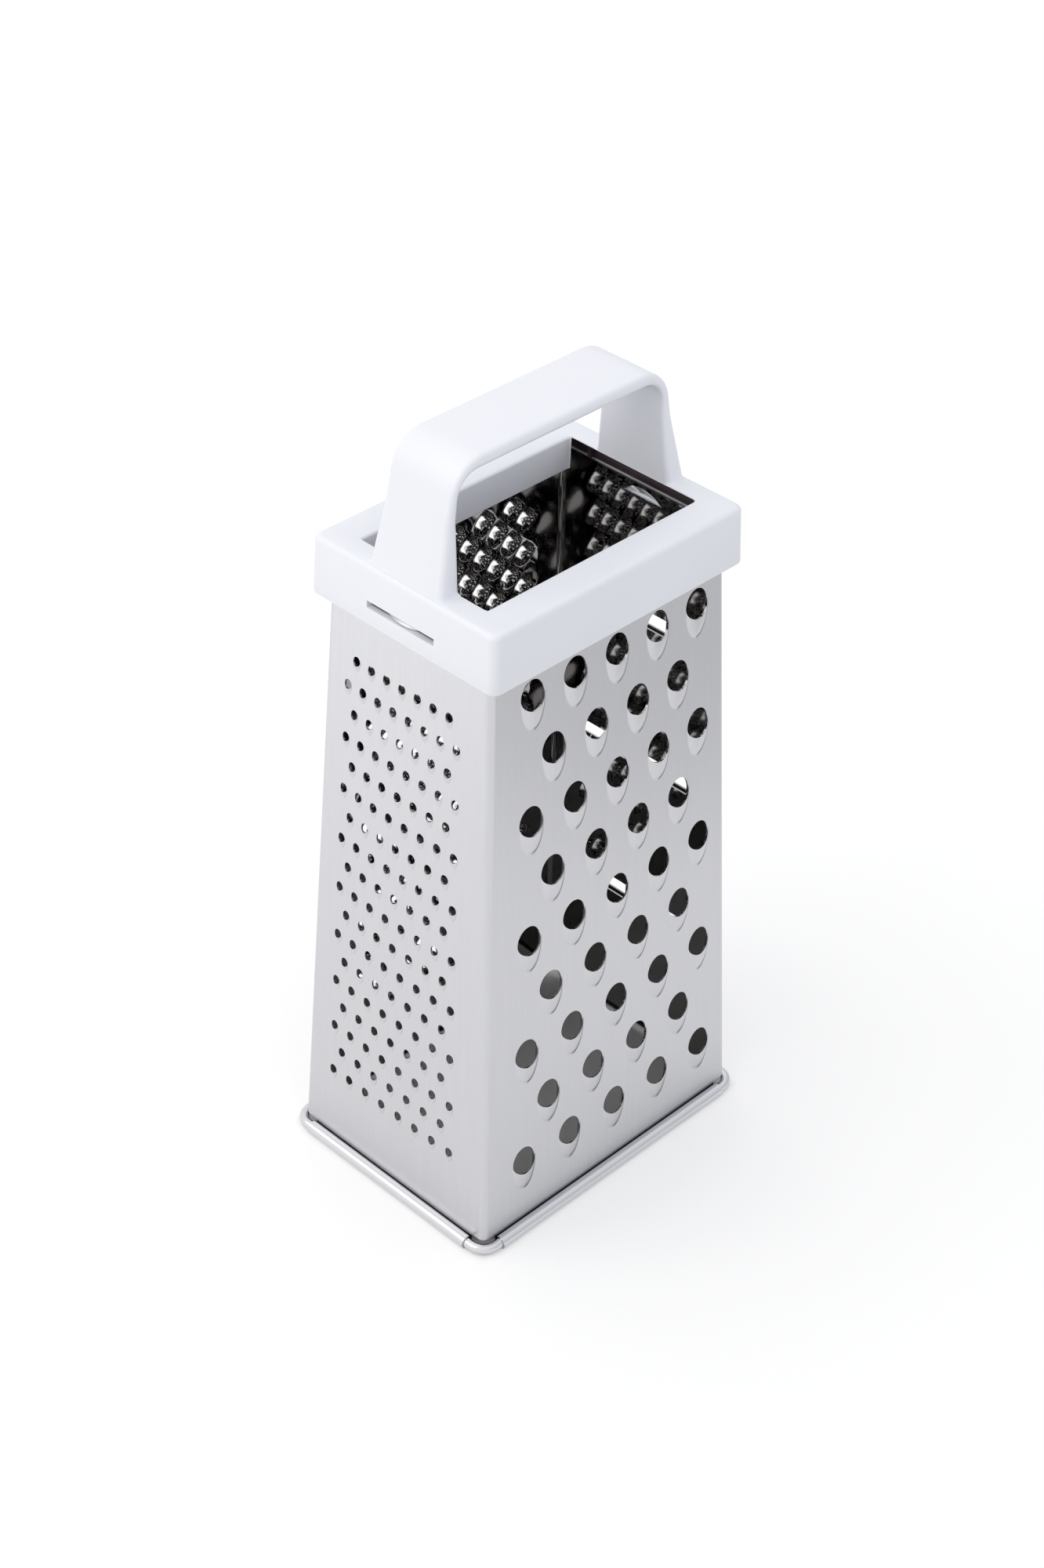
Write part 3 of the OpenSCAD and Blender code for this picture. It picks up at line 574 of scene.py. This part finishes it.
def loftLoops(bm, loops, closed):
    ring = bmesh.ops.create_circle(bm, segments=len(loops[0]), radius=1)["verts"]
    first = ring
    for vert, place in zip(ring, loops[0]):
        vert.co = place
    for loop in loops[1:]:
        edges = [bm.edges.get((ring[i - 1], ring[i])) for i in range(len(ring))]
        made = bmesh.ops.extrude_edge_only(bm, edges=edges)["geom"]
        partner = {}
        for old in ring:
            for edge in old.link_edges:
                other = edge.other_vert(old)
                if other not in ring and other in made:
                    partner[old] = other
        ring = [partner[old] for old in ring]
        for vert, place in zip(ring, loop):
            vert.co = place
    if closed:
        edges = [bm.edges.get((r[i - 1], r[i])) for r in (first, ring) for i in range(len(r))]
        bmesh.ops.bridge_loops(bm, edges=edges)
    return first, ring


def cutSlots(bm, c):
    # slots for the catches, through both skins of the two narrow sides
    for side in (-1, 1):
        window = [face for face, middle in faceMiddles(bm)
                  if side * middle.x > c["mouthHalfLength"] + 1 and abs(middle.y) < c["slotHalf"]
                  and c["slotLow"] < middle.z < c["slotHigh"]]
        rims = [e for f in window for e in f.edges if sum(g in window for g in e.link_faces) == 1]
        bmesh.ops.delete(bm, geom=window, context="FACES_KEEP_BOUNDARY")
        bmesh.ops.bridge_loops(bm, edges=rims)


def addRibs(bm, c):
    # ribs under the plate that centre the collar on the tube
    low, high = tube["top"] + c["ribGap"], c["top"] - c["plate"] + c["ribOverlap"]
    kinds = ((0, c["mouthHalfLength"] - c["longRibFromEnd"], c["longRibInner"], c["halfWidth"]),
             (1, c["mouthHalfWidth"] - c["shortRibFromEnd"], c["shortRibInner"], c["halfLength"]))
    for turn, place, inner, skin in kinds:
        outer = skin - c["ribInWall"]
        for side in (-1, 1):
            for way in (0, 2):
                rib = bmesh.ops.create_cube(bm, size=1)["verts"]
                bmesh.ops.scale(bm, vec=(c["ribThick"], outer - inner, high - low), verts=rib)
                middle = (side * place, (inner + outer) / 2, (high + low) / 2)
                bmesh.ops.translate(bm, vec=middle, verts=rib)
                bmesh.ops.rotate(bm, cent=(0, 0, 0), verts=rib,
                                 matrix=Matrix.Rotation(math.pi / 2 * (turn + way), 3, "Z"))


def makeCollar(c):
    bm = bmesh.new()
    loftLoops(bm, collarLoops(c), True)
    cutSlots(bm, c)
    addRibs(bm, c)
    bmesh.ops.recalc_face_normals(bm, faces=bm.faces[:])
    bmesh.ops.scale(bm, vec=(mm, mm, mm), verts=bm.verts)
    addPiece("collarMoulding", bm, whitePlastic, ["collar"], 40)


makeCollar(collarSizes)

# strap handle, in mm above the collar: stations up one leg, over the top and down the other
strapSizes = {"base": collarSizes["top"], "rise": 35.9, "footOutside": 45.4, "outerLean": 12.0,
              "outerCorner": 11.0, "footInside": 38.6, "innerLean": 2.8, "innerCorner": 7.0,
              "thickness": 3.8, "footHalfWidth": 13.4, "strapHalfWidth": 11.5, "flare": 20.0,
              "round": 1.5, "fillet": 1.2, "legStations": (0, 0.15, 0.4, 0.75, 1.2, 3, 6, 10, 15, 20),
              "cornerSteps": 8, "topStations": (20, 10, 0), "roundSteps": 4}


def archCorner(foot, legLean, corner, rise):
    height = rise - corner
    return Vector((foot - height * math.tan(legLean) - corner / math.cos(legLean), 0, height))


def onCorner(centre, legLean, corner, share):
    angle = legLean + (math.pi / 2 - legLean) * share
    return centre + Vector((math.cos(angle), 0, math.sin(angle))) * corner


def strapSection(s, inner, outer, halfWidth):
    middle, reach = (inner + outer) / 2, (outer - inner).length / 2
    outward = (outer - inner).normalized()
    radius = min(s["round"], reach * 0.85)
    points = []
    for turn, (sideOut, sideY) in enumerate(((1, 1), (-1, 1), (-1, -1), (1, -1))):
        for step in range(s["roundSteps"] + 1):
            angle = math.pi / 2 * (turn + step / s["roundSteps"])
            points.append(middle + outward * (sideOut * (reach - radius) + radius * math.cos(angle))
                          + Vector((0, sideY * (halfWidth - radius) + radius * math.sin(angle), 0)))
    return points


def makeHandle(s):
    outerLean, innerLean = math.radians(s["outerLean"]), math.radians(s["innerLean"])
    under = s["rise"] - s["thickness"]
    outerCentre = archCorner(s["footOutside"], outerLean, s["outerCorner"], s["rise"])
    innerCentre = archCorner(s["footInside"], innerLean, s["innerCorner"], under)
    stations = []
    for height in s["legStations"]:
        stations.append((Vector((s["footInside"] - height * math.tan(innerLean), 0, height)),
                         Vector((s["footOutside"] - height * math.tan(outerLean), 0, height))))
    for step in range(s["cornerSteps"] + 1):
        share = step / s["cornerSteps"]
        stations.append((onCorner(innerCentre, innerLean, s["innerCorner"], share),
                         onCorner(outerCentre, outerLean, s["outerCorner"], share)))
    for place in s["topStations"]:
        stations.append((Vector((place, 0, under)), Vector((place, 0, s["rise"]))))
    mirror = Matrix.Diagonal((-1, 1, 1))
    stations += [(mirror @ inner, mirror @ outer) for inner, outer in reversed(stations[:-1])]
    loops = []
    for inner, outer in stations:
        height = (inner.z + outer.z) / 2
        share = max(0, 1 - height / s["flare"])
        halfWidth = s["strapHalfWidth"] + (s["footHalfWidth"] - s["strapHalfWidth"]) * share
        level = min(1, height / s["fillet"])
        halfWidth += s["fillet"] * (1 - math.sqrt(1 - (1 - level) ** 2))
        loops.append(strapSection(s, inner, outer, halfWidth))
    bm = bmesh.new()
    for ring in loftLoops(bm, loops, False):
        bmesh.ops.contextual_create(bm, geom=ring)
    bmesh.ops.recalc_face_normals(bm, faces=bm.faces[:])
    bmesh.ops.translate(bm, vec=(0, 0, s["base"]), verts=bm.verts)
    bmesh.ops.scale(bm, vec=(mm, mm, mm), verts=bm.verts)
    addPiece("strapHandle", bm, whitePlastic, ["handle"], 50)


makeHandle(strapSizes)
print("moulding made")

# finishes of the CAD nodes that are shown as they are
for name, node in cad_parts.items():
    if name in ("collar", "handle", "coarse_face", "fine_face", "star_face"):
        continue
    for place in node.material_slots:
        place.material = wireSteel if name == "base_wire" or name.startswith("hem_") else sheetSteel
print("CAD nodes finished")

# floor, sky and lamps, in m; a patch of painted shade lies on the floor far right, where the steel mirrors
# it
studio = {"floor": (0.72, 0.72, 0.72), "ringFloorPaintedLight": (0.9, 0.9, 0.9), "floorGlow": 0.32,
          "ringHalf": (0.0556, 0.0421), "ringFade": -0.006, "contactShadeFade": 0.012,
          "shadePatchPlace": (0.36, -0.38), "shadePatchWithin": 0.22, "shadePatchBeyond": 0.36, "shadePatchKept": 0.78,
          "skyBright": (1, 1, 1), "skyDim": (0.572, 0.598, 0.65), "brightWay": (-0.62, 0.35, 0.70),
          "keyPower": 3.9, "keySize": 1.4, "keyPlace": (-1.0, 0.5, 1.3), "keyAim": (0, 0, 0.1),
          "poolPower": 0.3, "poolSize": 0.3, "poolPlace": (-0.55, 0.50, 0.45),
          "poolAim": (-0.42, 0.38, 0), "poolSpread": 70}


def floorZones(tree, place, s, mirrored):
    # ring is 0 on the floor that the base ring closes in and 1 elsewhere, with a wider fade in metal that
    # paints a contact shadow;
    # shadePatchFactor is lower on the painted shade patch, a little for the camera and down to 0 in metal
    parts = tree.nodes.new("ShaderNodeSeparateXYZ")
    feed(tree, parts, {0: place})
    past = [mathNode(tree, "SUBTRACT", mathNode(tree, "ABSOLUTE", parts.outputs[axis]), half)
            for axis, half in zip(("X", "Y"), s["ringHalf"])]
    # painted contact shadow: in metal the glow fades out over a band round the base ring
    fade = mathNode(tree, "MULTIPLY", mirrored, s["contactShadeFade"])
    ring = rangeNode(tree, mathNode(tree, "MAXIMUM", *past), (s["ringFade"], fade), (0, 1))
    away = vectorNode(tree, "DISTANCE", place, (*s["shadePatchPlace"], 0), "Value")
    kept = mathNode(tree, "MULTIPLY_ADD", mirrored, -s["shadePatchKept"], s["shadePatchKept"])
    shadePatchFactor = rangeNode(tree, away, (s["shadePatchWithin"], s["shadePatchBeyond"]), (kept, 1), smooth=True)
    return ring, shadePatchFactor


def makeFloor(s):
    bm = bmesh.new()
    bmesh.ops.create_grid(bm, x_segments=1, y_segments=1, size=4)
    mesh = bpy.data.meshes.new("studioFloor")
    bm.to_mesh(mesh)
    bm.free()
    floor = bpy.data.objects.new("studioFloor", mesh)
    bpy.context.scene.collection.objects.link(floor)
    material, tree, shader, place = newMaterial("studioFloor")
    # the glow is seen by the camera and in metal, but lights nothing
    path = tree.nodes.new("ShaderNodeLightPath")
    seen = mathNode(tree, "MAXIMUM", path.outputs["Is Camera Ray"], path.outputs["Is Glossy Ray"])
    seen = mathNode(tree, "MAXIMUM", seen, path.outputs["Is Transmission Ray"])
    ring, shadePatchFactor = floorZones(tree, place, s, path.outputs["Is Glossy Ray"])
    glow = mathNode(tree, "MULTIPLY", seen, mathNode(tree, "MULTIPLY", ring, shadePatchFactor))
    feed(tree, shader, {
        # painted light: the floor inside the base ring gets a lighter colour
        "Base Color": rampNode(tree, ring, ((0, s["ringFloorPaintedLight"]), (1, s["floor"]))),
        "Roughness": 0.9, "Specular IOR Level": 0, "Emission Color": (1, 1, 1, 1),
        "Emission Strength": mathNode(tree, "MULTIPLY", glow, s["floorGlow"])})
    mesh.materials.append(material)


def makeSky(s):
    # an even studio, brighter on the side of the key lamp
    world = bpy.data.worlds.new("studioSky")
    bpy.context.scene.world = world
    world.use_nodes = True
    tree = world.node_tree
    way = tree.nodes.new("ShaderNodeTexCoord").outputs["Generated"]
    facing = vectorNode(tree, "DOT_PRODUCT", way, s["brightWay"], "Value")
    level = rangeNode(tree, facing, (-0.8, 0.8), (0, 1), smooth=True)
    colour = rampNode(tree, level, ((0, s["skyDim"]), (1, s["skyBright"])))
    feed(tree, tree.nodes["Background"], {"Color": colour})


def addLamp(name, place, aim, size, power, spread=180):
    data = bpy.data.lights.new(name, "AREA")
    data.shape = "DISK"
    data.size = size
    data.energy = power
    data.spread = math.radians(spread)
    lamp = bpy.data.objects.new(name, data)
    bpy.context.scene.collection.objects.link(lamp)
    lamp.location = place
    lamp.rotation_euler = (Vector(aim) - Vector(place)).to_track_quat("-Z", "Y").to_euler()


makeFloor(studio)
makeSky(studio)
addLamp("keyLamp", studio["keyPlace"], studio["keyAim"], studio["keySize"], studio["keyPower"])
addLamp("poolLamp", studio["poolPlace"], studio["poolAim"], studio["poolSize"], studio["poolPower"],
        studio["poolSpread"])
bpy.context.scene.view_settings.view_transform = "Standard"
print("studio lit")
